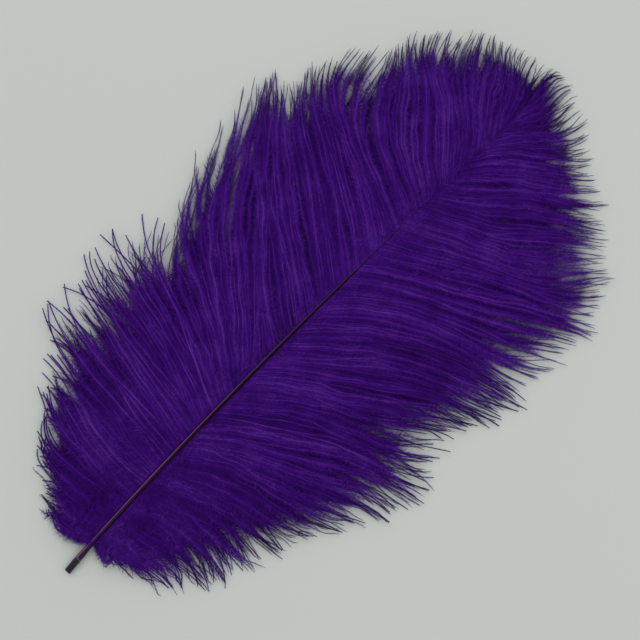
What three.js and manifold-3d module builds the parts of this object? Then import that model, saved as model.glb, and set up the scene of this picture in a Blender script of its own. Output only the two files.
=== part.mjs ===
// An ostrich plume lying on a flat surface: one shaft and, on each side of it, a vane of soft locks.
// Millimetres. +X runs from the cut quill to the tip, +Y to the left vane, +Z up, and the surface is z = 0.
import * as THREE from "three";
import { mergeVertices } from "three/addons/utils/BufferGeometryUtils.js";
import Module from "manifold-3d";

// Driving dimensions of the plume, seen from above.
const PLUME_LENGTH = 400; // cut end of the quill to the furthest barb tips
const VANE_WIDTH = { left: 112, right: 108 }; // from the shaft's axis to the barb tips, halfway along
const VANE_BACKSET = 6; // the rearmost barb tips lie this far ahead of the cut end
const VANE_SKEW = { left: -0.02, right: 0.25 }; // share by which a vane is fuller towards the tip
const VANE_FULLNESS = { left: 0.8, right: 1 }; // 1 is an ellipse, and less is squarer at both ends

// Shaft: a round calamus that thins into a long round rachis.
const SHAFT_LENGTH = 373;
const CALAMUS_RADIUS = 2;
const CALAMUS_LENGTH = 20;
const SHOULDER_LENGTH = 6; // the end of the calamus, where it narrows
const RACHIS_RADIUS = 1.6; // where the rachis leaves the calamus
const SHAFT_TIP_RADIUS = 0.35;
const RACHIS_TAPER = 0.9; // 1 is an even taper, and less thins sooner
const SHAFT_BOW = 4.5; // sideways, to the left
const BOW_PEAK = 0.8; // 1 puts the bow's peak halfway, and less nearer the cut end
const SHAFT_RISE = 15; // the arch of the shaft above the surface
const SHAFT_SIDES = 10;
const SHAFT_STEPS = 36;

// Barbs: their headings, in degrees from the shaft. The down at the base splays, or even points back, most
// barbs slant alike, and the last ones close over the tip. v is 0 at the first barb and 1 at the last.
const VANE_START = 22; // along the shaft, from the cut end to the first barbs
const SPLAY = { left: 88, right: 86 };
const SPLAY_ENDS = { left: [0.12, 0.45], right: [0.06, 0.28] }; // v from where to where splay turns to slant
const SLANT = { left: 54, right: 60 };
const BACKWARD = 35; // how much further back the very first barbs point
const BACKWARD_ENDS = 0.04; // v over which that fades
const CLOSED = 25; // heading to which barbs close before they fan out over the tip
const CLOSING_STARTS = 0.7; // v
const FAN_STARTS = 0.93; // v from which the last barbs turn to point straight ahead
const LEAVE_TURN = { left: [0, 3], right: [-9, 3] }; // from a barb's heading to that at its root
const ARRIVE_TURN = { left: [-10, -24], right: [-4, -16] }; // and to that at its tip, at first and then
const TURNS_CHANGE = { left: [0.25, 0.55], right: [0.5, 0.8] }; // v from where to where those turns change

// Locks: groups of barbs that leave the shaft together, end in one point and come to lie on the surface.
const LOCKS_PER_SIDE = 28;
const LOCK_THICKNESS = 4.6;
const LOCK_OVERLAP = 1.3; // width of a lock as a share of the room between its neighbours
const LOCK_LOFT = 5; // how far a lock first rises above its root
const LOCK_TIP_DEPTH = 0.3; // a lock's line ends this far below the surface, which cuts it flat there
const LOCK_DROOP = 3; // more keeps a lock raised further out
const LOCK_REACH = 1.07; // makes up for the points of the locks, which are too thin to show
const LOCK_REACH_SPREAD = 0.04; // share by which some locks are longer and others shorter
const LOCK_REACH_STEP = 2.4; // radians from one lock to the next, which spreads the long and the short ones
const LOCK_TAPER_START = 0.55; // share of a lock's length where it begins to narrow
const LOCK_TAPER_CURVE = 1.5;
const LOCK_STEPS = 9;
const LOCK_SIDES = 4;
const SEAM_GAP = 0.3; // between a vane and the shaft, and between the vanes ahead of the shaft

const SIDES = { left: 1, right: -1 };
const FINE_STEPS = 200; // samples of a curve that is measured
const HALVINGS = 40; // to find a length
const { clamp, degToRad, lerp, smoothstep } = THREE.MathUtils;

const wasm = await Module();
wasm.setup();

// The shaft's centre line, for u from 0 at the cut end to 1 at the tip.
function shaftPoint(u) {
  return new THREE.Vector3(
    u * SHAFT_LENGTH,
    SHAFT_BOW * Math.sin(Math.PI * u ** BOW_PEAK),
    CALAMUS_RADIUS + SHAFT_RISE * Math.sin(Math.PI * u),
  );
}

function shaftRadius(u) {
  const along = u * SHAFT_LENGTH;
  if (along < CALAMUS_LENGTH) {
    const shoulder = smoothstep(along, CALAMUS_LENGTH - SHOULDER_LENGTH, CALAMUS_LENGTH);
    return lerp(CALAMUS_RADIUS, RACHIS_RADIUS, shoulder);
  }
  const share = (along - CALAMUS_LENGTH) / (SHAFT_LENGTH - CALAMUS_LENGTH);
  return lerp(RACHIS_RADIUS, SHAFT_TIP_RADIUS, share ** RACHIS_TAPER);
}

// Where along the shaft a barb grows, for v from 0 at the first barb to 1 at the last.
function rootShare(v) {
  return (VANE_START + v * (SHAFT_LENGTH - VANE_START)) / SHAFT_LENGTH;
}

// Half the width of a vane's rounded outline, at x.
function outlineWidth(x, side) {
  const ahead = clamp((2 * (x - VANE_BACKSET)) / (PLUME_LENGTH - VANE_BACKSET) - 1, -1, 1);
  return VANE_WIDTH[side] * (1 - ahead ** 2) ** (VANE_FULLNESS[side] / 2) * (1 + VANE_SKEW[side] * ahead);
}

// The heading, from root to tip, of the barb that grows at v.
function slantAt(v, side) {
  const slant = lerp(SPLAY[side], SLANT[side], smoothstep(v, ...SPLAY_ENDS[side]));
  const open = slant + BACKWARD * Math.exp(-v / BACKWARD_ENDS);
  return lerp(lerp(open, CLOSED, smoothstep(v, CLOSING_STARTS, 1)), 0, smoothstep(v, FAN_STARTS, 1));
}

// The tip of the barb that grows at v, in plan: where its heading meets the outline.
function tipPoint(v, side) {
  const root = shaftPoint(rootShare(v));
  const ahead = heading(slantAt(v, side), side);
  let [inside, outside] = [0, PLUME_LENGTH];
  for (let i = 0; i < HALVINGS; i += 1) {
    const length = (inside + outside) / 2;
    const point = new THREE.Vector2(root.x, root.y).addScaledVector(ahead, length);
    const within = point.x < PLUME_LENGTH && SIDES[side] * point.y < outlineWidth(point.x, side);
    [inside, outside] = within ? [length, outside] : [inside, length];
  }
  return new THREE.Vector2(root.x, root.y).addScaledVector(ahead, inside);
}

// The heading, in plan, of a barb that makes this angle with the shaft.
function heading(degrees, side) {
  const angle = degToRad(degrees);
  return new THREE.Vector2(Math.cos(angle), SIDES[side] * Math.sin(angle));
}

// A barb's line from the shaft, for t from 0 at its root to 1 at its tip. It curves towards the tip of the
// plume, and arches over to lie on the surface.
function barbPoint(v, side, reach, t) {
  const root = shaftPoint(rootShare(v));
  const tip = new THREE.Vector2(root.x, root.y).lerp(tipPoint(v, side), reach);
  const chord = Math.hypot(tip.x - root.x, tip.y - root.y);
  const slant = slantAt(v, side);
  const change = smoothstep(v, ...TURNS_CHANGE[side]) * (1 - smoothstep(v, FAN_STARTS, 1));
  const start = heading(slant + lerp(...LEAVE_TURN[side], change), side).multiplyScalar(chord);
  const end = heading(slant + lerp(...ARRIVE_TURN[side], change), side).multiplyScalar(chord);
  const atTip = 3 * t ** 2 - 2 * t ** 3;
  const leaving = t ** 3 - 2 * t ** 2 + t;
  const arriving = t ** 3 - t ** 2;
  const raised = (1 - t ** LOCK_DROOP) ** 2;
  return new THREE.Vector3(
    lerp(root.x, tip.x, atTip) + leaving * start.x + arriving * end.x,
    lerp(root.y, tip.y, atTip) + leaving * start.y + arriving * end.y,
    lerp(-LOCK_TIP_DEPTH, root.z + LOCK_LOFT * Math.sin(Math.PI * t), raised),
  );
}

// A closed solid for joining and cutting.
function solid(geometry) {
  const bare = geometry.clone();
  bare.deleteAttribute("normal");
  bare.deleteAttribute("uv");
  const merged = mergeVertices(bare, 1e-4);
  return new wasm.Manifold(
    new wasm.Mesh({
      numProp: 3,
      vertProperties: new Float32Array(merged.attributes.position.array),
      triVerts: new Uint32Array(merged.index.array),
    }),
  );
}

function geometryOf(manifold) {
  const mesh = manifold.getMesh();
  const geometry = new THREE.BufferGeometry();
  geometry.setAttribute("position", new THREE.BufferAttribute(mesh.vertProperties, 3));
  geometry.setIndex(new THREE.BufferAttribute(mesh.triVerts, 1));
  geometry.computeVertexNormals();
  return geometry;
}

// A spindle turned about Y, from y = 0 to y = 1, each of whose vertices is then placed by
// place(share, across, up).
function spindle(radiusAt, sides, steps, place) {
  const profile = [new THREE.Vector2(0, 0)];
  for (let i = 0; i <= steps; i += 1) profile.push(new THREE.Vector2(radiusAt(i / steps), i / steps));
  if (profile.at(-1).x > 0) profile.push(new THREE.Vector2(0, 1));
  const geometry = new THREE.LatheGeometry(profile, sides);
  const position = geometry.attributes.position;
  for (let i = 0; i < position.count; i += 1) {
    const { x, y, z } = place(position.getY(i), position.getX(i), -position.getZ(i));
    position.setXYZ(i, x, y, z);
  }
  return geometry;
}

// The point beside a line at share t, off to its left by across and over it by up.
function besideLine(lineAt, t, across, up) {
  const step = 1e-3;
  const ahead = lineAt(Math.min(1, t + step)).sub(lineAt(Math.max(0, t - step))).normalize();
  const left = new THREE.Vector3(0, 0, 1).cross(ahead).normalize();
  const over = ahead.clone().cross(left);
  return lineAt(t).addScaledVector(left, across).addScaledVector(over, up);
}

function makeShaft() {
  return spindle(shaftRadius, SHAFT_SIDES, SHAFT_STEPS, (t, across, up) =>
    besideLine(shaftPoint, t, across, up),
  );
}

// Where on the vane the borders between locks lie: spaced evenly, half by their roots and half by their tips.
function lockBorders(side) {
  const samples = Array.from({ length: FINE_STEPS + 1 }, (_, i) => i / FINE_STEPS);
  const tips = samples.map((v) => tipPoint(v, side));
  const run = [0];
  for (let i = 1; i <= FINE_STEPS; i += 1) run.push(run[i - 1] + tips[i].distanceTo(tips[i - 1]));
  const share = samples.map((v, i) => (v + run[i] / run[FINE_STEPS]) / 2);
  const borders = [0];
  for (let lock = 1; lock < LOCKS_PER_SIDE; lock += 1) {
    borders.push(samples[share.findIndex((value) => value >= lock / LOCKS_PER_SIDE)]);
  }
  return [...borders, 1];
}

// One lock: a flattened spindle along its barb line, blunt at the shaft and pointed at its tip.
function makeLock(index, side, first, last) {
  const reach = LOCK_REACH + LOCK_REACH_SPREAD * Math.sin(index * LOCK_REACH_STEP + SIDES[side]);
  const lineAt = (v) => (t) => barbPoint(v, side, reach, t);
  const [before, line, after] = [lineAt(first), lineAt((first + last) / 2), lineAt(last)];
  const room = (t) => before(t).distanceTo(after(t));
  const past = (t) => Math.max(0, (t - LOCK_TAPER_START) / (1 - LOCK_TAPER_START));
  const taper = (t) => 1 - past(t) ** LOCK_TAPER_CURVE;
  const lock = spindle(taper, LOCK_SIDES, LOCK_STEPS, (t, across, up) =>
    besideLine(line, t, (across * LOCK_OVERLAP * room(t)) / 2, (up * LOCK_THICKNESS) / 2),
  );
  return solid(lock);
}

// Everything on the far side of a vane's inner edge, which follows the shaft and runs on past its tip.
function beyondInnerEdge(side) {
  const shape = new THREE.Shape();
  const margin = PLUME_LENGTH;
  const height = 4 * SHAFT_RISE;
  const edge = (u) => {
    const along = shaftPoint(Math.min(u, 1));
    const gap = u <= 1 ? shaftRadius(u) + SEAM_GAP : SEAM_GAP / 2;
    return [u * SHAFT_LENGTH, along.y + SIDES[side] * gap];
  };
  const steps = 2 * SHAFT_STEPS;
  shape.moveTo(-margin, -SIDES[side] * margin);
  shape.lineTo(-margin, edge(0)[1]);
  for (let i = 0; i <= steps; i += 1) shape.lineTo(...edge(i / steps));
  shape.lineTo(...edge(1 + SEAM_GAP / SHAFT_LENGTH));
  shape.lineTo(PLUME_LENGTH + margin, edge(1 + SEAM_GAP / SHAFT_LENGTH)[1]);
  shape.lineTo(PLUME_LENGTH + margin, -SIDES[side] * margin);
  shape.closePath();
  const wall = new THREE.ExtrudeGeometry(shape, { depth: 2 * height, bevelEnabled: false });
  return solid(wall.translate(0, 0, -height));
}

function belowSurface() {
  const slab = new THREE.BoxGeometry(2 * PLUME_LENGTH, 2 * PLUME_LENGTH, 2 * SHAFT_RISE);
  return solid(slab.translate(PLUME_LENGTH / 2, 0, -SHAFT_RISE));
}

function makeVane(side) {
  const borders = lockBorders(side);
  let vane = makeLock(0, side, borders[0], borders[1]);
  for (let i = 1; i < LOCKS_PER_SIDE; i += 1) vane = vane.add(makeLock(i, side, borders[i], borders[i + 1]));
  return geometryOf(vane.subtract(beyondInnerEdge(side)).subtract(belowSurface()));
}

const horn = new THREE.MeshStandardMaterial({ color: "#3a1c40", roughness: 0.45, metalness: 0 });
const leftDown = new THREE.MeshStandardMaterial({ color: "#3c1470", roughness: 0.9, metalness: 0 });
const rightDown = leftDown.clone();

function named(name, geometry, material) {
  const mesh = new THREE.Mesh(geometry, material);
  mesh.name = name;
  return mesh;
}

// The origin is under the middle of the plume's box, on the surface.
const plume = new THREE.Group();
plume.add(named("shaft", makeShaft(), horn));
plume.add(named("left_vane", makeVane("left"), leftDown));
plume.add(named("right_vane", makeVane("right"), rightDown));
const middle = new THREE.Box3().setFromObject(plume).getCenter(new THREE.Vector3());
plume.children.forEach((piece) => piece.position.set(-middle.x, -middle.y, 0));

export default plume;
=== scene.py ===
"""A dyed ostrich plume lying on a pale surface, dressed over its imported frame.

Lengths are millimetres in the classes below and metres in every mesh. A point of the plume is given from
the middle of the cut end of the quill: x along the shaft, y to the left vane and z up from the surface.
"""

import logging
import math
from dataclasses import dataclass, field
from enum import Enum
from typing import Any

import bpy
import numpy as np
from bpy.types import Material, Node, NodeSocket, Object
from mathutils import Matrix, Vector
from numpy import ndarray

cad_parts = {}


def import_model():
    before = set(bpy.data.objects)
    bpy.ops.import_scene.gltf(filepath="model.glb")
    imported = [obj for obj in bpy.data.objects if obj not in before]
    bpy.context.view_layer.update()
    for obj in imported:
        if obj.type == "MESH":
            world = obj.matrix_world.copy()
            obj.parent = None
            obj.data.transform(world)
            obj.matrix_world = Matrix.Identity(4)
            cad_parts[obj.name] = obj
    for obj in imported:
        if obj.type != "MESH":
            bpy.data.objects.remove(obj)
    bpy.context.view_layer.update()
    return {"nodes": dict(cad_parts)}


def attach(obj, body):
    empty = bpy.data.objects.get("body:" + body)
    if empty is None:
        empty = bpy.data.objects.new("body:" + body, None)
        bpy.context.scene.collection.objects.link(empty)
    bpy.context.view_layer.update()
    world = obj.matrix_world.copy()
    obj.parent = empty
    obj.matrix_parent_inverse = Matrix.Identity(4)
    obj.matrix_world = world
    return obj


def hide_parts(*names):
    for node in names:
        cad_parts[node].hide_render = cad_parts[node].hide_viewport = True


MM = 0.001
BODY = "root"
BAKE_MAP = "OFBake"
# A vertex's tone holds the down's real darker ends and random grain, and also painted highlight and painted
# shade
TONE = "tone"
Span = tuple[float, float]
Trio = tuple[float, float, float]
Colour = Trio
Trend = tuple[tuple[float, ...], tuple[float, ...]]
Mesh = tuple[ndarray, ndarray, ndarray, ndarray]
log = logging.getLogger("plume")


class Side(Enum):
    """The two vanes, each with the sign of its y and the frame's node that it stands for."""

    LEFT = ("left", 1.0)
    RIGHT = ("right", -1.0)

    @property
    def label(self) -> str:
        """The side's plain name."""
        return self.value[0]

    @property
    def sign(self) -> float:
        """1 on the left of the shaft and -1 on the right."""
        return self.value[1]

    @property
    def node(self) -> str:
        """The frame's node for this vane."""
        return f"{self.label}_vane"


class Stretch(Enum):
    """The three lengths of a vane that its barbs are joined in, from the quill to the tip."""

    DOWN = "down"
    MIDDLE = "middle"
    CROWN = "crown"


def by_side(left: Any, right: Any) -> Any:
    """A dataclass field that has a value of its own for each side."""
    return field(default_factory=lambda: {Side.LEFT: left, Side.RIGHT: right})


def smoothstep(low: float, high: float, x: ndarray) -> ndarray:
    """A smooth ramp from 0 at low to 1 at high.

    Args:
        low: Where the ramp starts.
        high: Where it ends.
        x: The values to ramp.

    Returns:
        The ramped values.
    """
    share = np.clip((x - low) / (high - low), 0.0, 1.0)
    return share * share * (3.0 - 2.0 * share)


def mix(first: Any, last: Any, share: ndarray) -> ndarray:
    """A value between two, at first where share is 0 and at last where it is 1."""
    return first + (last - first) * share


def wave(cycles: ndarray) -> ndarray:
    """A sine wave, counted in whole cycles."""
    return np.sin(2.0 * np.pi * cycles)


def settle(node: Node, values: dict[str, Any]) -> None:
    """Sets a node's inputs by their names."""
    for name, value in values.items():
        node.inputs[name].default_value = value


def ranged(source: NodeSocket, span: Span, onto: Span = (0.0, 1.0), smooth: bool = False) -> NodeSocket:
    """Maps a span of a socket's values onto another span.

    Args:
        source: The socket.
        span: The values that are mapped to the ends of the other span.
        onto: The other span.
        smooth: Whether the change eases in and out.

    Returns:
        The new node's result.
    """
    tree = source.id_data
    node = tree.nodes.new("ShaderNodeMapRange")
    node.interpolation_type = "SMOOTHSTEP" if smooth else "LINEAR"
    settle(node, {"From Min": span[0], "From Max": span[1], "To Min": onto[0], "To Max": onto[1]})
    tree.links.new(source, node.inputs["Value"])
    return node.outputs["Result"]


def unit(vectors: ndarray) -> ndarray:
    """The vectors of the last axis, made one long."""
    return vectors / np.maximum(np.linalg.norm(vectors, axis=-1, keepdims=True), 1e-12)


@dataclass
class PlumeForm:
    """The lines that every piece of the plume follows, in millimetres, as the frame's solids do."""

    plume_length: float = 400.0
    vane_width: dict[Side, float] = by_side(112.0, 108.0)
    vane_backset: float = 6.0
    vane_skew: dict[Side, float] = by_side(-0.02, 0.25)
    vane_fullness: dict[Side, float] = by_side(0.8, 1.0)
    shaft_length: float = 373.0
    calamus_radius: float = 2.0
    calamus_length: float = 20.0
    shoulder_length: float = 6.0
    rachis_radius: float = 1.6
    shaft_tip_radius: float = 0.35
    rachis_taper: float = 0.9
    shaft_bow: float = 4.5
    bow_peak: float = 0.8
    shaft_rise: float = 15.0
    vane_start: float = 22.0
    splay: dict[Side, float] = by_side(85.0, 86.0)
    splay_ends: dict[Side, Span] = by_side((0.12, 0.45), (0.06, 0.28))
    slant: dict[Side, float] = by_side(54.0, 60.0)
    backward: float = 18.0
    backward_ends: float = 0.04
    closed: float = 25.0
    closing_starts: float = 0.7
    fan_starts: float = 0.93
    leave_turn: dict[Side, Span] = by_side((0.0, 3.0), (-16.0, 3.0))
    arrive_turn: dict[Side, Span] = by_side((-4.0, -26.0), (12.0, -15.0))
    turns_change: dict[Side, Span] = by_side((0.45, 0.85), (0.45, 0.8))
    turns_end: float = 0.8
    swept: dict[Side, Trio] = by_side((0.37, 0.06, 15.0), (0.16, 0.05, 6.0))
    loft: Span = (5.0, 1.25)
    root_cover: Span = (-0.7, 1.0)
    droop: float = 3.0
    tip_spacing: float = 0.6
    cover_starts: Span = (0.4, 0.75)
    halvings: int = 40
    samples: int = 1001
    middle: Vector = field(default_factory=Vector)

    def __post_init__(self) -> None:
        """Finds every barb's heading and its tip on the outline, once for all barbs."""
        self.grid = np.linspace(0.0, 1.0, self.samples)
        self.slants = {side: self.slant_at(self.grid, side) for side in Side}
        self.tips = {side: self.find_tips(side) for side in Side}

    def read_frame(self, shaft: Object) -> None:
        """Finds the cut end of the quill on the frame's shaft, so that the plume lies where the frame does.

        Args:
            shaft: The frame's shaft, whose cut end is its lowest x.
        """
        points = np.array([vertex.co for vertex in shaft.data.vertices]) / MM
        cut = points[points[:, 0] < points[:, 0].min() + self.calamus_radius]
        centre = (cut.min(0) + cut.max(0)) / 2.0
        self.middle = Vector((-points[:, 0].min(), -centre[1], 0.0))

    def place(self, points: ndarray) -> ndarray:
        """Points of the plume in millimetres, as the frame's points in metres."""
        return (points - np.array(self.middle)) * MM

    def shaft_point(self, u: ndarray) -> ndarray:
        """The shaft's centre line, for u from 0 at the cut end to 1 at the tip."""
        across = self.shaft_bow * np.sin(np.pi * np.clip(u, 0.0, 1.0) ** self.bow_peak)
        up = self.calamus_radius + self.shaft_rise * np.sin(np.pi * u)
        return np.stack([u * self.shaft_length, across, up], axis=-1)

    def shaft_radius(self, u: ndarray) -> ndarray:
        """Half the shaft's thickness at u."""
        along = u * self.shaft_length
        shoulder = smoothstep(self.calamus_length - self.shoulder_length, self.calamus_length, along)
        share = np.clip((along - self.calamus_length) / (self.shaft_length - self.calamus_length), 0.0, 1.0)
        rachis = mix(self.rachis_radius, self.shaft_tip_radius, share**self.rachis_taper)
        return mix(self.calamus_radius, rachis, shoulder)

    def root_share(self, v: ndarray) -> ndarray:
        """Where along the shaft a barb grows, for v from 0 at the first barb to 1 at the last."""
        return (self.vane_start + v * (self.shaft_length - self.vane_start)) / self.shaft_length

    def outline_width(self, x: ndarray, side: Side) -> ndarray:
        """Half the width of a vane's rounded outline, at x."""
        ahead = 2.0 * (x - self.vane_backset) / (self.plume_length - self.vane_backset) - 1.0
        ahead = np.clip(ahead, -1.0, 1.0)
        round_ends = (1.0 - ahead**2) ** (self.vane_fullness[side] / 2.0)
        return self.vane_width[side] * round_ends * (1.0 + self.vane_skew[side] * ahead)

    def slant_at(self, v: ndarray, side: Side) -> ndarray:
        """The heading in degrees from the shaft, root to tip, of the barb that grows at v."""
        open_slant = mix(self.splay[side], self.slant[side], smoothstep(*self.splay_ends[side], v))
        where, spread, turn = self.swept[side]
        open_slant = open_slant + self.backward * np.exp(-v / self.backward_ends)
        open_slant = open_slant - turn * np.exp(-(((v - where) / spread) ** 2))
        closing = mix(open_slant, self.closed, smoothstep(self.closing_starts, 1.0, v))
        return closing * (1.0 - smoothstep(self.fan_starts, 1.0, v))

    def find_tips(self, side: Side) -> ndarray:
        """Where the barbs' headings meet the outline, in plan, found by halving."""
        root = self.shaft_point(self.root_share(self.grid))
        slant = np.radians(self.slants[side])
        ahead = np.stack([np.cos(slant), side.sign * np.sin(slant)], -1)
        inside, outside = np.zeros(self.samples), np.full(self.samples, self.plume_length)
        for _ in range(self.halvings):
            length = (inside + outside) / 2.0
            point = root[:, :2] + ahead * length[:, None]
            within = side.sign * point[:, 1] < self.outline_width(point[:, 0], side)
            within &= point[:, 0] < self.plume_length
            inside, outside = np.where(within, length, inside), np.where(within, outside, length)
        return root[:, :2] + ahead * inside[:, None]

    def spread(self, share: ndarray, side: Side) -> ndarray:
        """Where barbs grow that are spaced evenly, partly by their roots and partly by their tips.

        Args:
            share: From 0 at the first barb to 1 at the last.
            side: The vane.

        Returns:
            Each barb's v.
        """
        steps = np.linalg.norm(np.diff(self.tips[side], axis=0), axis=1)
        run = np.concatenate([[0.0], np.cumsum(steps)])
        by_tips = self.tip_spacing * run / run[-1]
        return np.interp(share, (1.0 - self.tip_spacing) * self.grid + by_tips, self.grid)

    def barb_point(
        self,
        v: ndarray,
        side: Side,
        reach: ndarray,
        t: ndarray,
        turns: tuple[ndarray, ndarray],
        tip_height: ndarray,
    ) -> ndarray:
        """Points of barbs, for t from 0 at the root to 1 at the tip.

        Args:
            v: Where each barb grows on its vane.
            side: The vane.
            reach: The barb's length as a share of the way to the outline.
            t: The share of the barb's length.
            turns: Degrees that the barb's root and tip are turned away from its neighbours.
            tip_height: How high the tip floats above the surface.

        Returns:
            The points, one row each.
        """
        root = self.shaft_point(self.root_share(v))
        plan = root[..., :2]
        tip = np.stack([np.interp(v, self.grid, self.tips[side][:, axis]) for axis in range(2)], -1)
        tip = mix(plan, tip, reach[..., None])
        chord = np.linalg.norm(tip - plan, axis=-1)
        slant = np.interp(v, self.grid, self.slants[side])
        change = smoothstep(*self.turns_change[side], v) * (1.0 - smoothstep(self.turns_end, 1.0, v))
        leave, arrive = (
            np.radians(slant + mix(*bend[side], change) + turn)
            for bend, turn in zip((self.leave_turn, self.arrive_turn), turns)
        )
        start = chord[..., None] * np.stack([np.cos(leave), side.sign * np.sin(leave)], -1)
        end = chord[..., None] * np.stack([np.cos(arrive), side.sign * np.sin(arrive)], -1)
        at_tip = (3.0 * t**2 - 2.0 * t**3)[..., None]
        leaving = (t**3 - 2.0 * t**2 + t)[..., None]
        arriving = (t**3 - t**2)[..., None]
        flat = mix(plan, tip, at_tip) + leaving * start + arriving * end
        raised = (1.0 - t**self.droop) ** 2
        crown = smoothstep(*self.cover_starts, v)
        cover = self.shaft_radius(self.root_share(v)) * mix(*self.root_cover, crown)
        loft = mix(*self.loft, crown) * np.sin(np.pi * t)
        height = mix(tip_height, root[..., 2] + cover + loft, raised)
        return np.concatenate([flat, height[..., None]], axis=-1)


@dataclass(frozen=True)
class BarbFinish:
    """Dyed violet down: matte, with next to no shine, darker towards its ends. The tone that it reads also
    holds painted highlight on the rami and ridge crests, and painted shade in the under coat and at the
    barbule tips.
    """

    name: str = "violet_down"
    deep: Colour = (0.008, 0.001, 0.028)
    body: Colour = (0.059, 0.004, 0.227)
    light: Colour = (0.160, 0.040, 0.410)
    roughness: float = 0.7
    shine: float = 0.12
    shine_tint: Colour = (0.6, 0.35, 1.0)
    mottle_scale: float = 60.0
    mottle: float = 0.2
    mottle_detail: float = 3.0
    mottle_range: Span = (0.3, 0.7)

    def material(self) -> Material:
        """The node material, which reads each barb's tone and a soft mottle over the whole vane."""
        material = bpy.data.materials.new(self.name)
        material.use_nodes = True
        nodes, links = material.node_tree.nodes, material.node_tree.links
        shader = nodes["Principled BSDF"]
        tone = nodes.new("ShaderNodeAttribute")
        tone.attribute_name = TONE
        place = nodes.new("ShaderNodeTexCoord")
        noise = nodes.new("ShaderNodeTexNoise")
        settle(noise, {"Scale": self.mottle_scale, "Detail": self.mottle_detail})
        links.new(place.outputs["Object"], noise.inputs["Vector"])
        spread = ranged(noise.outputs["Fac"], self.mottle_range, (-self.mottle / 2.0, self.mottle / 2.0))
        total = nodes.new("ShaderNodeMath")
        total.operation = "ADD"
        total.use_clamp = True
        links.new(tone.outputs["Fac"], total.inputs[0])
        links.new(spread, total.inputs[1])
        ramp = nodes.new("ShaderNodeValToRGB")
        ramp.color_ramp.elements[0].color = (*self.deep, 1.0)
        ramp.color_ramp.elements[1].color = (*self.light, 1.0)
        ramp.color_ramp.elements.new(0.5).color = (*self.body, 1.0)
        links.new(total.outputs["Value"], ramp.inputs["Fac"])
        links.new(ramp.outputs["Color"], shader.inputs["Base Color"])
        settle(shader, {"Roughness": self.roughness, "Specular IOR Level": self.shine})
        settle(shader, {"Specular Tint": (*self.shine_tint, 1.0)})
        return material


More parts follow.
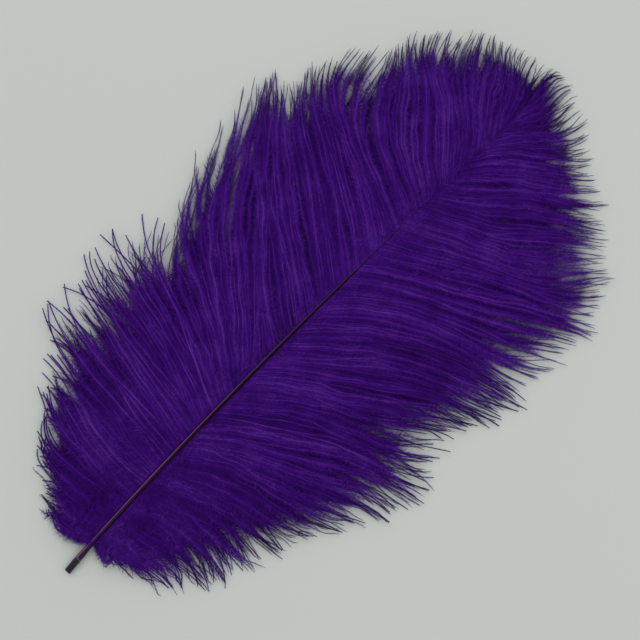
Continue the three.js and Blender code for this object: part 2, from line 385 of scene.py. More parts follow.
@dataclass(frozen=True)
class HornFinish:
    """Dyed horn, softly shiny: a charcoal end with a worn, paler edge, then plum that darkens on the way up,
    with a painted highlight on its upper left flank and painted shade on both flanks.

    Lengths are millimetres. Stops are places in the change from charcoal to plum, where a colour starts to
    show and where it is full. Angles are degrees to the left of straight up.
    """

    name: str = "dyed_horn"
    charcoal: Colour = (0.018, 0.017, 0.024)
    worn: Colour = (0.16, 0.14, 0.16)
    plum: Colour = (0.050, 0.007, 0.072)
    dark_plum: Colour = (0.016, 0.002, 0.018)
    darkens_over: float = 150.0
    # pale is a painted highlight: a pinkish line on the upper left flank of the shaft, where the key light
    # glints, weaker further up
    pale: Colour = (0.25, 0.11, 0.22)
    highlight_faces: float = 28.0
    highlight_edges: Span = (0.92, 0.995)
    highlight_over: float = 330.0
    # Painted shade on both flanks of the shaft, where they turn away from the light
    shade: Colour = (0.008, 0.0, 0.016)
    shade_faces: Span = (-65.0, 110.0)
    shade_edges: Span = (0.2, 0.8)
    shine: Span = (0.32, 0.1)
    shine_tint: Colour = (1.0, 0.7, 1.0)
    roughness: float = 0.28
    grain_scale: float = 700.0
    ragged_by: float = 3.0
    change_length: float = 4.0
    worn_stops: Span = (0.5, 0.34)
    charcoal_stops: Span = (0.32, 0.2)

    @staticmethod
    def blend(colour: NodeSocket, tint: Colour, strength: NodeSocket) -> NodeSocket:
        """A colour with a tint laid over it as strongly as a socket says."""
        tree = colour.id_data
        node = tree.nodes.new("ShaderNodeMix")
        node.data_type = "RGBA"
        tree.links.new(strength, node.inputs["Factor"])
        tree.links.new(colour, node.inputs["A"])
        node.inputs["B"].default_value = (*tint, 1.0)
        return node.outputs["Result"]

    @staticmethod
    def facing(material: Material, angle: float, edges: Span) -> NodeSocket:
        """How nearly the surface faces an angle, in degrees to the left of straight up, which places the
        painted highlight and the painted shade.
        """
        nodes, links = material.node_tree.nodes, material.node_tree.links
        place = nodes.new("ShaderNodeTexCoord")
        towards = nodes.new("ShaderNodeVectorMath")
        towards.operation = "DOT_PRODUCT"
        turn = math.radians(angle)
        towards.inputs[1].default_value = (0.0, math.sin(turn), math.cos(turn))
        links.new(place.outputs["Normal"], towards.inputs[0])
        return ranged(towards.outputs["Value"], edges, smooth=True)

    def material(self, charcoal_end: float) -> Material:
        """The node material.

        Args:
            charcoal_end: The frame's x, in metres, where charcoal gives way to plum.

        Returns:
            The material.
        """
        material = bpy.data.materials.new(self.name)
        material.use_nodes = True
        nodes, links = material.node_tree.nodes, material.node_tree.links
        shader = nodes["Principled BSDF"]
        place = nodes.new("ShaderNodeTexCoord")
        axes = nodes.new("ShaderNodeSeparateXYZ")
        links.new(place.outputs["Object"], axes.inputs["Vector"])
        grain = nodes.new("ShaderNodeTexNoise")
        grain.inputs["Scale"].default_value = self.grain_scale
        links.new(place.outputs["Object"], grain.inputs["Vector"])
        ragged = nodes.new("ShaderNodeMath")
        ragged.operation = "MULTIPLY_ADD"
        ragged.inputs[1].default_value = self.ragged_by * MM
        links.new(grain.outputs["Fac"], ragged.inputs[0])
        links.new(axes.outputs["X"], ragged.inputs[2])
        along = ranged(ragged.outputs["Value"], (charcoal_end, charcoal_end + self.change_length * MM))
        darkened = charcoal_end + self.darkens_over * MM
        darkening = ranged(axes.outputs["X"], (charcoal_end, darkened), smooth=True)
        # Painted highlight: full near the quill, dying away up the shaft
        highlight_fading = ranged(axes.outputs["X"], (charcoal_end + self.highlight_over * MM, charcoal_end))
        colour = nodes.new("ShaderNodeRGB").outputs["Color"]
        colour.default_value = (*self.plum, 1.0)
        colour = self.blend(colour, self.dark_plum, darkening)
        # Painted shade darkens both flanks of the shaft
        for flank in self.shade_faces:
            shaded = self.facing(material, flank, self.shade_edges)
            colour = self.blend(colour, self.shade, shaded)
        # Painted highlight: a pale line where the shaft faces up and to the left, towards the key light
        highlight_mask = self.facing(material, self.highlight_faces, self.highlight_edges)
        links.new(highlight_fading, highlight_mask.node.inputs["To Max"])
        colour = self.blend(colour, self.pale, highlight_mask)
        colour = self.blend(colour, self.worn, ranged(along, self.worn_stops))
        colour = self.blend(colour, self.charcoal, ranged(along, self.charcoal_stops))
        links.new(colour, shader.inputs["Base Color"])
        links.new(ranged(darkening, (0.0, 1.0), self.shine), shader.inputs["Specular IOR Level"])
        settle(shader, {"Roughness": self.roughness, "Specular Tint": (*self.shine_tint, 1.0)})
        return material


@dataclass
class Quill:
    """The shaft: a bare hollow calamus with a cut end, and the long grooved rachis between the vanes."""

    form: PlumeForm
    finish: HornFinish = HornFinish()
    sides: int = 32
    stations: int = 60
    groove_half_angle: float = 14.0
    groove_depth: float = 0.32
    hollow_share: float = 0.72
    hollow_depth: float = 9.0
    charcoal_length: float = 10.0
    sharp_angle: float = 50.0

    def build(self) -> Object:
        """Draws the cut end out along the shaft's line, grooved on top, then hollows the cut end.

        Returns:
            The finished shaft.
        """
        shares = np.linspace(0.0, 1.0, self.stations + 1)
        centres = self.form.place(self.form.shaft_point(shares))
        radii = self.form.shaft_radius(shares) * MM
        bpy.ops.object.select_all(action="DESELECT")
        bpy.ops.mesh.primitive_circle_add(
            vertices=self.sides, radius=radii[0], fill_type="NGON", rotation=(0.0, math.pi / 2.0, 0.0)
        )
        shaft = bpy.context.object
        shaft.name = shaft.data.name = "quill_and_rachis"
        bpy.ops.object.transform_apply(location=True, rotation=True, scale=True)
        self.groove(shaft, radii[0])
        bpy.ops.object.mode_set(mode="EDIT")
        bpy.ops.mesh.select_all(action="SELECT")
        bpy.ops.transform.translate(value=Vector(centres[0]))
        for step in range(1, len(shares)):
            move = Vector(centres[step] - centres[step - 1])
            bpy.ops.mesh.extrude_region_move(TRANSFORM_OT_translate={"value": move})
            shrink = radii[step] / radii[step - 1]
            bpy.ops.transform.resize(value=(shrink,) * 3, center_override=Vector(centres[step]))
        bpy.ops.object.mode_set(mode="OBJECT")
        self.hollow(shaft)
        bpy.ops.object.mode_set(mode="EDIT")
        bpy.ops.mesh.select_all(action="SELECT")
        bpy.ops.mesh.normals_make_consistent(inside=False)
        bpy.ops.object.mode_set(mode="OBJECT")
        bpy.ops.object.shade_smooth_by_angle(angle=math.radians(self.sharp_angle))
        return shaft

    def groove(self, shaft: Object, radius: float) -> None:
        """Sinks the top of the section that is drawn out.

        Args:
            shaft: The section, round its own middle.
            radius: Its radius in metres.
        """
        bottom = math.cos(math.radians(self.groove_half_angle)) * radius
        bpy.ops.object.mode_set(mode="EDIT")
        bpy.ops.mesh.select_all(action="DESELECT")
        bpy.ops.object.mode_set(mode="OBJECT")
        for vertex in shaft.data.vertices:
            vertex.select = bool(vertex.co.z > bottom)
        bpy.ops.object.mode_set(mode="EDIT")
        bpy.ops.mesh.select_mode(type="VERT")
        bpy.ops.transform.translate(value=(0.0, 0.0, -self.groove_depth * radius))
        bpy.ops.object.mode_set(mode="OBJECT")

    def hollow(self, shaft: Object) -> None:
        """Sinks the pith's hole into the cut end."""
        faces = shaft.data.polygons
        lowest = min(faces, key=lambda face: face.center.x)
        if len(lowest.vertices) != self.sides:
            log.warning("the cut end has no cap to hollow")
            return
        for face in faces:
            face.select = face.index == lowest.index
        bpy.ops.object.mode_set(mode="EDIT")
        bpy.ops.mesh.select_mode(type="FACE")
        bpy.ops.mesh.inset(thickness=self.form.calamus_radius * (1.0 - self.hollow_share) * MM)
        inward = (self.hollow_depth * MM, 0.0, 0.0)
        bpy.ops.mesh.extrude_region_move(TRANSFORM_OT_translate={"value": inward})
        bpy.ops.object.mode_set(mode="OBJECT")

    def dress(self, shaft: Object) -> None:
        """Gives the shaft its finish and its place in the frame."""
        charcoal_end = (self.charcoal_length - self.form.middle.x) * MM
        shaft.data.materials.append(self.finish.material(charcoal_end))
        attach(shaft, BODY)
        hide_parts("shaft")


@dataclass(frozen=True)
class Coat:
    """One layer of a vane's barbs: how many there are, how they lie and how they are feathered.

    The layer ends at the share until of its vane, and reach is its length against the outline.
    """

    barbs: int
    until: float = 1.0
    reach: float = 1.07
    gather: float = 0.85
    ridged: float = 1.0
    turn: float = 5.0
    lift: float = 0.0
    wave: float = 0.8
    pitch: float = 0.34
    barbule: float = 4.0
    bare: float = 0.0
    curl: float = 0.0
    stout: float = 1.0
    tone: float = 0.5
    ramus: bool = True


@dataclass(frozen=True)
class Unevenness:
    """How far tufts, ridges and single barbs differ from their neighbours, along spans of the vane."""

    tuft_sizes: Span = (0.5, 1.5)
    ridge_sizes: tuple[int, int] = (3, 7)
    root_slack: Span = (0.1, 0.9)
    short_share: float = 0.16
    short_reach: Span = (0.78, 0.95)
    looseness: float = 2.5
    loose_span: Span = (0.03, 0.22)
    tuft_ridge_own_reach: Trio = (0.04, 0.02, 0.02)
    reach_limits: Span = (0.15, 1.4)
    stray_span: Span = (0.1, 0.4)
    stray_turn: float = 24.0
    strays_elsewhere: float = 0.05
    widest_turn: float = 40.0
    base_gather: float = 0.4
    gather_span: Span = (0.0, 0.15)
    crown_gather: float = 0.5
    crown_span: Span = (0.8, 0.95)
    tuft_gather: float = 0.5
    ridge_gather: float = 0.3
    most_gathered: float = 0.95
    ridge_leave: float = 7.0
    own_leave: float = 2.5
    wander: float = 0.005
    wander_ends: Span = (0.75, 0.95)
    tip_heights: Span = (0.8, 4.5)
    ridge_crest_own_lift: Trio = (0.8, 0.7, 0.3)
    wave_counts: Span = (0.6, 1.9)
    bare_spread: float = 9.0
    ripples: float = 4.5
    ripples_spread: float = 1.5
    # Tone: painted light makes raised ridges and the middles of ridges lighter, and each barb also has its
    # own random tone
    painted_crest_light_own_tone: Trio = (0.08, 0.07, 0.04)
    # Painted highlight along the rami: a share of the barbs get the stronger one
    highlight_share: float = 0.3
    highlight_tones: Span = (0.25, 0.1)


@dataclass(frozen=True)
class Sway:
    """How a barb's line wanders within its vane: sizes in millimetres, spans in shares of the barb.

    The waver, the crinkle and the ripple each have a size below the crown and one on it.
    """

    heading: float = 0.8
    crown: Span = (0.3, 0.6)
    ridge_gather: float = 0.55
    waver: Span = (0.3, 0.15)
    waver_cycles: float = 1.5
    ridge_span: Span = (0.06, 0.4)
    tuft_span: Span = (0.68, 1.0)
    wave_growth: float = 1.3
    crown_waves: float = 0.5
    crinkle: Span = (0.45, 0.12)
    crinkle_cycles: float = 6.0
    crinkle_span: Span = (0.0, 0.2)
    crinkled_if_ridged: float = 4.0
    ripple: Span = (0.3, 0.38)
    ripple_span: Span = (0.05, 0.3)
    ripple_ends: Span = (0.55, 0.9)
    curl_cycles: float = 3.0
    curl_span: Span = (0.25, 0.6)
    flow: tuple[Trio, ...] = ((4.0, 3.0, 0.6), (2.8, 5.5, 1.0), (1.6, 8.0, 1.4))
    lean_span: Span = (0.8, 1.05)
    lean_starts: Span = (0.25, 0.4)
    lean_ends: Span = (0.6, 0.85)
    lift_span: Span = (0.0, 0.3)
    clearance: float = 0.35


@dataclass(frozen=True)
class Fluff:
    """How barbules stand on a barb, in the down and on the crown, in millimetres and degrees."""

    fewest: int = 8
    root_slack: float = 0.6
    down_ends: Span = (0.05, 0.3)
    crown_starts: Span = (0.45, 0.7)
    down_length: float = 5.5
    root_share: float = 0.2
    under_root_share: float = 0.6
    under_down_share: float = 0.15
    root_span: Span = (0.0, 0.12)
    crown_calm: float = 0.6
    pressed_until: float = 7.0
    fluffy_from: float = 24.0
    soft_sooner: float = 18.0
    pressed_length: float = 1.6
    point_length: float = 5.0
    least_length: float = 0.1
    own_lengths: Span = (0.6, 1.15)
    clumps: tuple[Span, ...] = ((2.7, 7.0), (1.3, 11.0))
    clump_length: float = 0.12
    clump_lean: float = 6.0
    lean: float = 42.0
    down_lean: float = 14.0
    lean_spread: Span = (8.0, 12.0)
    pressed_lean: float = 0.5
    sag: float = 22.0
    sag_spread: Span = (22.0, 10.0)
    clearance: float = 0.2
    # Barbule tips are darker than their barb on average, painted shade where they droop into the valleys,
    # with a random grain about that
    grain: Span = (-0.16, 0.14)
    base_grain: float = 0.08
    map_half: float = 0.42
    map_longest: float = 1.2


@dataclass
class Vane:
    """One side's barbs, each a thin ramus with a row of barbules on either side of it."""

    form: PlumeForm
    side: Side
    seed: int
    uneven: Unevenness = Unevenness()
    sway: Sway = Sway()
    fluff: Fluff = Fluff()
    top: Coat = Coat(barbs=420)
    # The under coat's lower tone is painted shade: it lies low, in the valleys between the ridges of the top
    # coat
    under: Coat = Coat(
        barbs=280, reach=0.9, gather=0.6, ridged=0.1, lift=-2.0, pitch=0.56, barbule=7.0, tone=0.34,
        ramus=False,
    )
    curls: Coat = Coat(barbs=70, until=0.12, reach=0.5, turn=6.0, curl=0.8)
    threads: dict[Side, Coat] = by_side(
        Coat(
            barbs=80, until=0.31, reach=1.2, gather=0.0, ridged=0.0, turn=15.0, wave=0.0, bare=18.0,
            stout=2.8,
        ),
        Coat(
            barbs=90, until=0.5, reach=1.12, gather=0.0, ridged=0.0, turn=6.0, wave=0.4, bare=16.0,
            stout=2.2, tone=0.38,
        ),
    )
    reach_trend: dict[Side, Trend] = by_side(
        (
            (0.0, 0.03, 0.06, 0.1, 0.15, 0.18, 0.225, 0.285, 0.31)
            + (0.33, 0.36, 0.45, 0.52, 0.6, 0.78, 0.88, 0.93, 1.0),
            (0.68, 0.65, 0.75, 0.79, 0.87, 0.94, 0.84, 0.88, 0.77)
            + (0.95, 1.1, 0.96, 0.99, 0.97, 0.89, 0.94, 0.92, 0.98),
        ),
        (
            (0.0, 0.03, 0.06, 0.1, 0.15, 0.2, 0.25, 0.3, 0.35)
            + (0.4, 0.5, 0.6, 0.68, 0.75, 0.82, 0.88, 0.94, 1.0),
            (0.62, 1.16, 1.05, 0.97, 0.88, 1.03, 1.03, 0.87, 0.91)
            + (0.94, 0.89, 1.02, 1.02, 0.96, 0.88, 0.83, 0.86, 0.95),
        ),
    )
    rim_fade: dict[Side, Trend] = by_side(
        ((0.0, 0.4, 0.8), (0.12, 0.14, 0.34)),
        ((0.0, 0.08, 0.15, 0.4, 0.55, 0.75, 0.9), (0.08, 0.1, 0.26, 0.26, 0.12, 0.14, 0.34)),
    )
    fade_span: Span = (2.0, 30.0)
    flow_starts: dict[Side, Trio] = by_side((0.42, 0.39, 0.16), (0.6, 0.2, 0.25))
    soft_ends: dict[Side, float] = by_side(1.0, 0.2)
    tip_lean: dict[Side, float] = by_side(5.0, 1.0)
    strays: dict[Side, float] = by_side(0.3, 0.1)
    tufts: dict[Side, int] = by_side(74, 96)
    ramus_steps: int = 28
    ramus_radius: float = 0.19
    ramus_taper: float = 0.35
    ramus_corners: Trio = (90.0, 210.0, 330.0)
    ramus_map: Trio = (0.5, 0.54, 0.46)
    # Painted highlight on the rami: it waves along each ramus and is weaker on the down
    highlight_streak: float = 0.6
    highlight_streak_cycles: float = 2.2
    down_shine: float = 0.3
    down_shine_ends: Span = (0.05, 0.25)
    rng: np.random.Generator = field(init=False)

    def __post_init__(self) -> None:
        """Draws every barb's own lengths and turns, in the order of the barbs along the shaft."""
        self.rng = np.random.default_rng(self.seed)
        ends = np.cumsum(self.rng.uniform(*self.uneven.tuft_sizes, self.tufts[self.side]))
        self.tuft_ends = self.form.spread(ends / ends[-1], self.side)
        self.tuft_own = self.rng.uniform(-1.0, 1.0, (ends.size, 2))
        coats = (self.top, self.under, self.curls, self.threads[self.side])
        drawn = [self.draw(coat) for coat in coats]
        joined = {name: np.concatenate([one[name] for one in drawn]) for name in drawn[0]}
        order = np.argsort(joined["v"], kind="stable")
        for name, values in joined.items():
            setattr(self, name, values[order])
        self.length = self.measure()

    def draw(self, coat: Coat) -> dict[str, ndarray]:
        """Draws one coat's barbs.

        Args:
            coat: The coat.

        Returns:
            For each barb where it and its ridge and tuft grow, and its own lengths, turns and tones.
        """
        rng, count, uneven = self.rng, coat.barbs, self.uneven
        share = (np.arange(count) + rng.uniform(*uneven.root_slack, count)) / count
        v = self.form.spread(share, self.side) * coat.until
        tuft = np.minimum(np.searchsorted(self.tuft_ends, v), self.tuft_ends.size - 1)
        tuft_middles = self.tuft_ends - np.diff(self.tuft_ends, prepend=0.0) / 2.0
        tuft_reach, tuft_gather = self.tuft_own[tuft].T
        ridge = np.repeat(np.arange(count), rng.integers(*uneven.ridge_sizes, count))[:count]
        by_ridge = rng.uniform(-1.0, 1.0, (count, 7))[ridge].T
        ridge_reach, ridge_gather, ridge_turn, ridge_lift, ridge_leave, ripple_start, ripples = by_ridge
        ridge_v = (np.bincount(ridge, v) / np.bincount(ridge))[ridge]
        half_ridge = np.maximum(np.bincount(ridge, np.abs(v - ridge_v)) / np.bincount(ridge), 1e-6)[ridge]
        crest = np.clip(1.0 - np.abs(v - ridge_v) / half_ridge, -1.0, 1.0)
        by_barb = rng.normal(0.0, 1.0, (count, 8)).T
        own_reach, own_turn, own_stray, own_wander, own_lift, own_wave, own_tone, own_leave = by_barb
        is_short = rng.random(count) < uneven.short_share
        short = np.where(is_short, rng.uniform(*uneven.short_reach, count), 1.0)
        loose = 1.0 + uneven.looseness * (1.0 - smoothstep(*uneven.loose_span, v))
        differs = np.dot(uneven.tuft_ridge_own_reach, (tuft_reach, ridge_reach, own_reach))
        reach = coat.reach * np.interp(v, *self.reach_trend[self.side]) + differs * np.sqrt(loose)
        astray = (v > uneven.stray_span[0]) & (v < uneven.stray_span[1])
        strays = np.where(astray, self.strays[self.side], uneven.strays_elsewhere)
        stray = np.where(rng.random(count) < strays, uneven.stray_turn * own_stray, 0.0)
        turn = coat.turn * loose * (own_turn + ridge_turn) + stray
        gather = coat.gather * mix(uneven.base_gather, 1.0, smoothstep(*uneven.gather_span, v))
        gather = gather * mix(1.0, uneven.crown_gather, smoothstep(*uneven.crown_span, v))
        gather = gather * (1.0 + uneven.tuft_gather * tuft_gather + uneven.ridge_gather * ridge_gather)
        plain = ("ridged", "stout", "ramus", "pitch", "barbule")
        return {
            "v": v,
            "ridge_v": ridge_v,
            "tuft_v": tuft_middles[tuft],
            "reach": np.clip(reach * short, *uneven.reach_limits),
            "gathered": np.clip(gather, 0.0, uneven.most_gathered),
            "leave": (uneven.ridge_leave * ridge_leave + uneven.own_leave * own_leave) * loose,
            "turn": np.clip(turn, -uneven.widest_turn, uneven.widest_turn),
            "wander": uneven.wander * own_wander * (1.0 - smoothstep(*uneven.wander_ends, v)),
            "tip_height": rng.uniform(*uneven.tip_heights, count) + np.maximum(coat.lift, 0.0),
            "lift": coat.lift + np.dot(uneven.ridge_crest_own_lift, (ridge_lift, crest, own_lift)),
            "wave_size": coat.wave * loose * np.abs(own_wave),
            "wave_count": rng.uniform(*uneven.wave_counts, count),
            "wave_start": rng.uniform(0.0, 1.0, count),
            "bare": coat.bare + rng.uniform(0.0, uneven.bare_spread, count),
            "curl": coat.curl * np.abs(own_wave),
            "ripple_start": ripple_start,
            "ripple_count": uneven.ripples + uneven.ripples_spread * ripples,
            # Tone: painted light on raised ridges and ridge middles, plus each barb's own random tone
            "tone": coat.tone + np.dot(uneven.painted_crest_light_own_tone, (ridge_lift, crest, own_tone)),
            # Painted highlight along this barb's ramus
            "bright": np.where(rng.random(count) < uneven.highlight_share, *uneven.highlight_tones),
        } | {name: np.full(count, getattr(coat, name)) for name in plain}

    def line(self, barb: ndarray, t: ndarray) -> ndarray:
        """Points on barbs' own lines, gathered into ridges and tufts, lifted and waved.

        Args:
            barb: The barbs' numbers.
            t: The share of each barb's length.

        Returns:
            The points, one row each.
        """
        how = self.sway
        start = self.wave_start[barb]
        crown = smoothstep(*how.crown, self.v[barb])
        waver = mix(*how.waver, crown) * wave(how.waver_cycles * t + 3.0 * start)
        ridge = (how.ridge_gather + waver) * smoothstep(*how.ridge_span, t) * self.ridged[barb]
        tuft = self.gathered[barb] * smoothstep(*how.tuft_span, t)
        v = self.v[barb] + (self.ridge_v - self.v)[barb] * ridge
        v = v + (self.tuft_v - self.ridge_v)[barb] * tuft + self.wander[barb] * t**2
        v = np.clip(v, 0.0, 1.0)
        turns = (self.leave[barb], self.turn[barb])
        points = self.form.barb_point(v, self.side, self.reach[barb], t, turns, self.tip_height[barb])
        waves = wave(self.wave_count[barb] * t + start) * t**how.wave_growth
        aside = self.wave_size[barb] * waves * mix(1.0, how.crown_waves, crown)
        crinkle = wave(how.crinkle_cycles * t + 13.0 * start) * smoothstep(*how.crinkle_span, t)
        crinkle = crinkle * np.minimum(how.crinkled_if_ridged * self.ridged[barb], 1.0)
        aside = aside + mix(*how.crinkle, crown) * crinkle
        ripple = wave(self.ripple_count[barb] * t + self.ripple_start[barb])
        ripple = ripple * smoothstep(*how.ripple_span, t) * (1.0 - smoothstep(*how.ripple_ends, t))
        aside = aside + mix(*how.ripple, crown) * ripple
        turning = how.curl_cycles * self.wave_count[barb] * t + start
        curl = self.curl[barb] * smoothstep(*how.curl_span, t)
        aside = aside + curl * wave(turning)
        for (size, along_vane, along_barb), begin in zip(how.flow, self.flow_starts[self.side]):
            aside = aside + size * t * wave(along_vane * v + along_barb * t + begin)
        leaning = smoothstep(*how.lean_starts, v) * (1.0 - smoothstep(*how.lean_ends, v))
        aside = aside + self.tip_lean[self.side] * leaning * smoothstep(*how.lean_span, t)
        points[:, 0] += aside * np.cos(how.heading)
        points[:, 1] += aside * np.sin(how.heading) * -self.side.sign
        points[:, 2] += curl * (1.0 + wave(turning + 0.25))
        points[:, 2] += self.lift[barb] * smoothstep(*how.lift_span, t) * (1.0 - t)
        points[:, 2] = np.maximum(points[:, 2], how.clearance)
        return points

    def axes(self, barb: ndarray, t: ndarray) -> tuple[ndarray, ndarray, ndarray]:
        """The directions ahead along each barb, to its left and over it."""
        step = 4e-3
        behind = self.line(barb, np.maximum(t - step, 0.0))
        ahead = unit(self.line(barb, np.minimum(t + step, 1.0)) - behind)
        left = unit(np.cross((0.0, 0.0, 1.0), ahead))
        return ahead, left, np.cross(ahead, left)

    def measure(self) -> ndarray:
        """Every barb's length."""
        shares = np.linspace(0.0, 1.0, self.ramus_steps + 1)
        barb = np.repeat(np.arange(self.v.size), shares.size)
        points = self.line(barb, np.tile(shares, self.v.size)).reshape(self.v.size, -1, 3)
        return np.linalg.norm(np.diff(points, axis=1), axis=2).sum(1)

    def fade(self, barb: ndarray, t: ndarray) -> ndarray:
        """How much a barb darkens towards its end."""
        most = np.interp(self.v[barb], *self.rim_fade[self.side])
        to_tip = (1.0 - t) * self.length[barb]
        return most * (1.0 - smoothstep(*self.fade_span, to_tip))

    def rami(self, barbs: ndarray) -> Mesh:
        """Three-sided tubes along the barbs, which grow thinner towards their ends.

        Args:
            barbs: The barbs' numbers.

        Returns:
            The vertices, triangles, tones and bake map places.
        """
        rings = self.ramus_steps + 1
        barb = np.repeat(barbs, rings)
        t = np.tile(np.linspace(0.0, 1.0, rings), barbs.size)
        _, left, over = self.axes(barb, t)
        radius = (self.ramus_radius * self.stout[barb] * (1.0 - self.ramus_taper * t**2))[:, None, None]
        corners = np.radians(self.ramus_corners)[None, :, None]
        across, up = radius * np.cos(corners), radius * np.sin(corners)
        points = self.line(barb, t)[:, None] + across * left[:, None] + up * over[:, None]
        first = (np.arange(barbs.size)[:, None] * rings + np.arange(rings - 1)[None]).reshape(-1) * 3
        faces = []
        for corner in range(3):
            here, there = first + corner, first + (corner + 1) % 3
            faces += [np.stack([here, here + 3, there], 1), np.stack([there, here + 3, there + 3], 1)]
        ends = (np.arange(barbs.size) * rings * 3)[:, None]
        last = ends + (rings - 1) * 3
        faces += [ends + np.array([[0, 1, 2]]), last + np.array([[0, 2, 1]])]
        # The ramus's tone: painted highlight that waves along it and is weaker on the down, less the real
        # darkening towards its end
        highlight_streak = wave(self.wave_count[barb] * self.highlight_streak_cycles * t + 5.0 * self.wave_start[barb])
        above_down = smoothstep(*self.down_shine_ends, self.v[barb])
        bright = self.bright[barb] * mix(self.down_shine, 1.0, above_down)
        tone = self.tone[barb] + bright * (1.0 + self.highlight_streak * highlight_streak) - self.fade(barb, t)
        row = np.repeat(np.arange(barbs.size), rings)
        rows = (row[:, None] + np.array(self.ramus_map)[None]) / barbs.size
        place = np.stack([np.repeat(t, 3), rows.reshape(-1)], axis=1)
        return points.reshape(-1, 3), np.concatenate(faces), np.repeat(tone, 3), place

    def barbule_sizes(self, barb: ndarray, share: ndarray) -> tuple[ndarray, ndarray, ndarray]:
        """How long barbules are and how far they stand off.

        Args:
            barb: The number of each barbule's barb.
            share: The share of the barb's length where it grows.

        Returns:
            The full length on that barb, the barbule's own length, and a share that is 0 where it is pressed
            to the barb and 1 where it is fluffy.
        """
        fluff = self.fluff
        down = 1.0 - smoothstep(*fluff.down_ends, self.v[barb])
        crown = smoothstep(*fluff.crown_starts, self.v[barb])
        full = self.barbule[barb]
        full = full + np.maximum(fluff.down_length - full, 0.0) * down
        over_root = mix(fluff.root_share, 1.0, crown)
        under_root = mix(fluff.under_root_share, fluff.under_down_share, down)
        at_root = np.where(self.ramus[barb], over_root, under_root)
        size = full * mix(at_root, 1.0, smoothstep(*fluff.root_span, share))
        to_tip = (1.0 - share) * self.length[barb]
        calm = mix(1.0, fluff.crown_calm, crown)
        soft = down * self.soft_ends[self.side]
        fluffy_from = fluff.fluffy_from * calm - fluff.soft_sooner * soft
        pressed_until = fluff.pressed_until * (1.0 - soft)
        fluffy = smoothstep(pressed_until, fluffy_from, to_tip - self.bare[barb] * calm)
        pressed = fluff.pressed_length * smoothstep(0.0, fluff.point_length, to_tip)
        return full, size * fluffy + (1.0 - fluffy) * pressed + fluff.least_length, fluffy

    def barbules(self, barbs: ndarray) -> Mesh:
        """Rows of fine pointed barbules on both sides of the barbs.

        Args:
            barbs: The barbs' numbers.

        Returns:
            The vertices, triangles, tones and bake map places.
        """
        rng, fluff = self.rng, self.fluff
        counts = np.maximum(fluff.fewest, (self.length[barbs] / self.pitch[barbs]).astype(int))
        knots = counts + 1
        row = np.repeat(np.arange(barbs.size), knots)
        order = np.arange(knots.sum()) - (np.cumsum(knots) - knots)[row]
        barb = barbs[row]
        t = order / counts[row]
        base = self.line(barb, t)
        ahead, left, over = self.axes(barb, t)
        slack = rng.uniform(-fluff.root_slack, fluff.root_slack, t.size) * self.ramus_radius
        base = base + over * slack[:, None]
        grows = np.flatnonzero(order < counts[row])
        share = np.minimum(t[grows] + 0.5 / counts[row[grows]], 1.0)
        bearer = barb[grows]
        full, size, fluffy = self.barbule_sizes(bearer, share)
        down = 1.0 - smoothstep(*fluff.down_ends, self.v[bearer])
        along, start = share * self.length[bearer], self.wave_start[bearer]
        clump = sum(wave(along / length + shift * start) for length, shift in fluff.clumps)
        tips, tones, places = [], [], []
        for hand in (1.0, -1.0):
            own = size * rng.uniform(*fluff.own_lengths, grows.size)
            own = own * (1.0 + fluff.clump_length * hand * clump)
            spread = fluff.lean_spread[0] + fluff.lean_spread[1] * down
            lean = fluff.lean + fluff.down_lean * down + fluff.clump_lean * clump
            lean = lean + rng.normal(0.0, 1.0, grows.size) * spread
            lean = np.radians(lean * mix(fluff.pressed_lean, 1.0, fluffy))[:, None]
            spread = fluff.sag_spread[0] + fluff.sag_spread[1] * down
            sag = np.radians(fluff.sag + rng.normal(0.0, 1.0, grows.size) * spread)[:, None]
            aside = hand * left[grows] * np.cos(sag) - over[grows] * np.sin(sag)
            way = ahead[grows] * np.cos(lean) + aside * np.sin(lean)
            tip = (base[grows] + base[grows + 1]) / 2.0 + way * own[:, None]
            tip[:, 2] = np.maximum(tip[:, 2], fluff.clearance)
            tips.append(tip)
            # Painted shade: barbule tips darker on average, with a random grain
            grain = rng.normal(*fluff.grain, grows.size)
            tones.append(self.tone[bearer] + grain - self.fade(bearer, share))
            across = 0.5 + fluff.map_half * hand * own / (fluff.map_longest * full)
            places.append(np.stack([share, (row[grows] + across) / barbs.size], 1))
        left_tip = base.shape[0] + np.arange(grows.size)
        right_tip = left_tip + grows.size
        faces = [np.stack([grows, grows + 1, left_tip], 1), np.stack([grows + 1, grows, right_tip], 1)]
        base_tone = self.tone[barb] + rng.normal(0.0, fluff.base_grain, t.size) - self.fade(barb, t)
        base_place = np.stack([t, (row + 0.5) / barbs.size], 1)
        return (
            np.concatenate([base, *tips]),
            np.concatenate(faces),
            np.concatenate([base_tone, *tones]),
            np.concatenate([base_place, *places]),
        )

    def build(self, finish: Material) -> list[Object]:
        """Joins the barbs in three stretches of about the same length of barb.

        Args:
            finish: The barbs' material.

        Returns:
            The three pieces.
        """
        share = np.cumsum(self.length) / self.length.sum()
        stretches = np.minimum((share * len(Stretch)).astype(int), len(Stretch) - 1)
        pieces = []
        for number, stretch in enumerate(Stretch):
            barbs = np.flatnonzero(stretches == number)
            parts = [self.rami(barbs[self.ramus[barbs]]), self.barbules(barbs)]
            shift = parts[0][0].shape[0]
            points = np.concatenate([part[0] for part in parts])
            faces = np.concatenate([parts[0][1], parts[1][1] + shift])
            tones = np.concatenate([part[2] for part in parts])
            places = np.concatenate([part[3] for part in parts])
            name = f"{self.side.label}_{stretch.value}_barbs"
            pieces.append(join_arrays(name, self.form.place(points), faces, tones, places, finish))
        return pieces

    def dress(self, pieces: list[Object]) -> None:
        """Gives the barbs their place in the frame."""
        for piece in pieces:
            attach(piece, BODY)
            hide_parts(self.side.node)


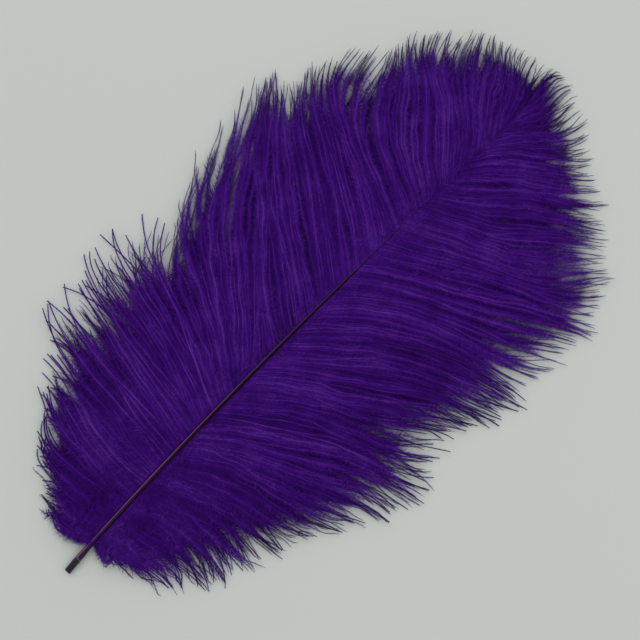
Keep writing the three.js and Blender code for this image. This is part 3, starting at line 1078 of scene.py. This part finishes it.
def join_arrays(
    name: str,
    points: ndarray,
    faces: ndarray,
    tones: ndarray,
    places: ndarray,
    finish: Material,
) -> Object:
    """One mesh object from arrays.

    Args:
        name: The piece's name.
        points: Its vertices, in metres.
        faces: Its triangles.
        tones: Each vertex's tone, which its material reads.
        places: Each vertex's place on the bake map.
        finish: Its material.

    Returns:
        The object, linked to the scene.
    """
    mesh = bpy.data.meshes.new(name)
    mesh.vertices.add(points.shape[0])
    mesh.vertices.foreach_set("co", points.astype(np.float32).ravel())
    mesh.loops.add(faces.size)
    mesh.loops.foreach_set("vertex_index", faces.astype(np.int32).ravel())
    mesh.polygons.add(faces.shape[0])
    mesh.polygons.foreach_set("loop_start", np.arange(0, faces.size, 3, dtype=np.int32))
    tone = mesh.attributes.new(TONE, "FLOAT", "POINT")
    tone.data.foreach_set("value", tones.astype(np.float32))
    bake_map = mesh.uv_layers.new(name=BAKE_MAP)
    bake_map.uv.foreach_set("vector", places[faces.ravel()].astype(np.float32).ravel())
    mesh.materials.append(finish)
    mesh.update(calc_edges=True)
    mesh.validate()
    mesh.shade_smooth()
    piece = bpy.data.objects.new(name, mesh)
    bpy.context.scene.collection.objects.link(piece)
    return piece


@dataclass
class Studio:
    """The pale surface, the soft light and the camera that looks straight down."""

    form: PlumeForm
    heading: float = 45.36
    look_at: Trio = (204.4, -1.7, 8.0)
    distance: float = 1000.0
    view_width: float = 364.8
    sensor: float = 36.0
    floor_size: float = 6.0
    floor_colour: Colour = (0.60, 0.635, 0.605)
    floor_roughness: float = 0.8
    floor_shine: float = 0.2
    sky: float = 0.63
    lamps: tuple[tuple[str, float, float, Trio], ...] = (
        ("key", 15.0, 1.6, (-0.5, 1.25, 2.0)),
        ("fill", 0.8, 0.5, (0.45, -0.22, 0.8)),
    )

    def frame_point(self, right: float, up: float, height: float) -> Vector:
        """A point in metres, given across and up the picture from its middle and above the surface."""
        turn = math.radians(self.heading)
        x = math.cos(turn) * right + math.sin(turn) * up
        y = -math.sin(turn) * right + math.cos(turn) * up
        target = self.target()
        return Vector((target.x + x, target.y + y, height))

    def target(self) -> Vector:
        """The point in the middle of the picture."""
        return Vector(self.form.place(np.array(self.look_at)))

    def build(self) -> None:
        """Makes the floor, the lights and the camera."""
        self.lay_floor()
        self.light()
        self.aim()

    def lay_floor(self) -> None:
        """A plain pale floor under the plume."""
        bpy.ops.object.select_all(action="DESELECT")
        bpy.ops.mesh.primitive_plane_add(size=self.floor_size)
        floor = bpy.context.object
        floor.name = "floor"
        material = bpy.data.materials.new("pale_floor")
        material.use_nodes = True
        shader = material.node_tree.nodes["Principled BSDF"]
        settle(shader, {"Base Color": (*self.floor_colour, 1.0), "Roughness": self.floor_roughness})
        settle(shader, {"Specular IOR Level": self.floor_shine})
        floor.data.materials.append(material)

    def light(self) -> None:
        """An even pale sky, a large soft lamp over the top of the picture and a fainter one at its right."""
        world = bpy.data.worlds.new("studio")
        world.use_nodes = True
        background = world.node_tree.nodes["Background"]
        settle(background, {"Color": (1.0, 1.0, 1.0, 1.0), "Strength": self.sky})
        bpy.context.scene.world = world
        for name, power, size, place in self.lamps:
            lamp = bpy.data.lights.new(name, "AREA")
            lamp.energy = power
            lamp.size = size
            holder = bpy.data.objects.new(name, lamp)
            holder.location = self.frame_point(*place)
            aim = self.target() - holder.location
            holder.rotation_euler = aim.to_track_quat("-Z", "Y").to_euler()
            bpy.context.scene.collection.objects.link(holder)
        bpy.context.scene.view_settings.view_transform = "Standard"

    def aim(self) -> None:
        """The camera, over the plume, turned so that the shaft runs up to the right."""
        lens = bpy.data.cameras.new("camera")
        lens.sensor_width = self.sensor
        lens.lens = self.sensor * self.distance / self.view_width
        camera = bpy.data.objects.new("camera", lens)
        camera.location = self.target() + Vector((0.0, 0.0, self.distance * MM))
        camera.rotation_euler = (0.0, 0.0, math.radians(-self.heading))
        bpy.context.scene.collection.objects.link(camera)
        bpy.context.scene.camera = camera


def main() -> None:
    """Builds the plume around the frame, then the studio around the plume."""
    logging.basicConfig(level=logging.INFO, format="%(name)s: %(message)s")
    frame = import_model()
    form = PlumeForm()
    form.read_frame(frame["nodes"]["shaft"])
    log.info("cut end at %s mm", tuple(round(-value, 2) for value in form.middle))
    quill = Quill(form)
    shaft = quill.build()
    quill.dress(shaft)
    log.info("%s: %d faces", shaft.name, len(shaft.data.polygons))
    down = BarbFinish().material()
    for seed, side in enumerate(Side, start=11):
        vane = Vane(form, side, seed)
        pieces = vane.build(down)
        vane.dress(pieces)
        for piece in pieces:
            log.info("%s: %d triangles", piece.name, len(piece.data.polygons))
    Studio(form).build()


if __name__ == "__main__":
    main()
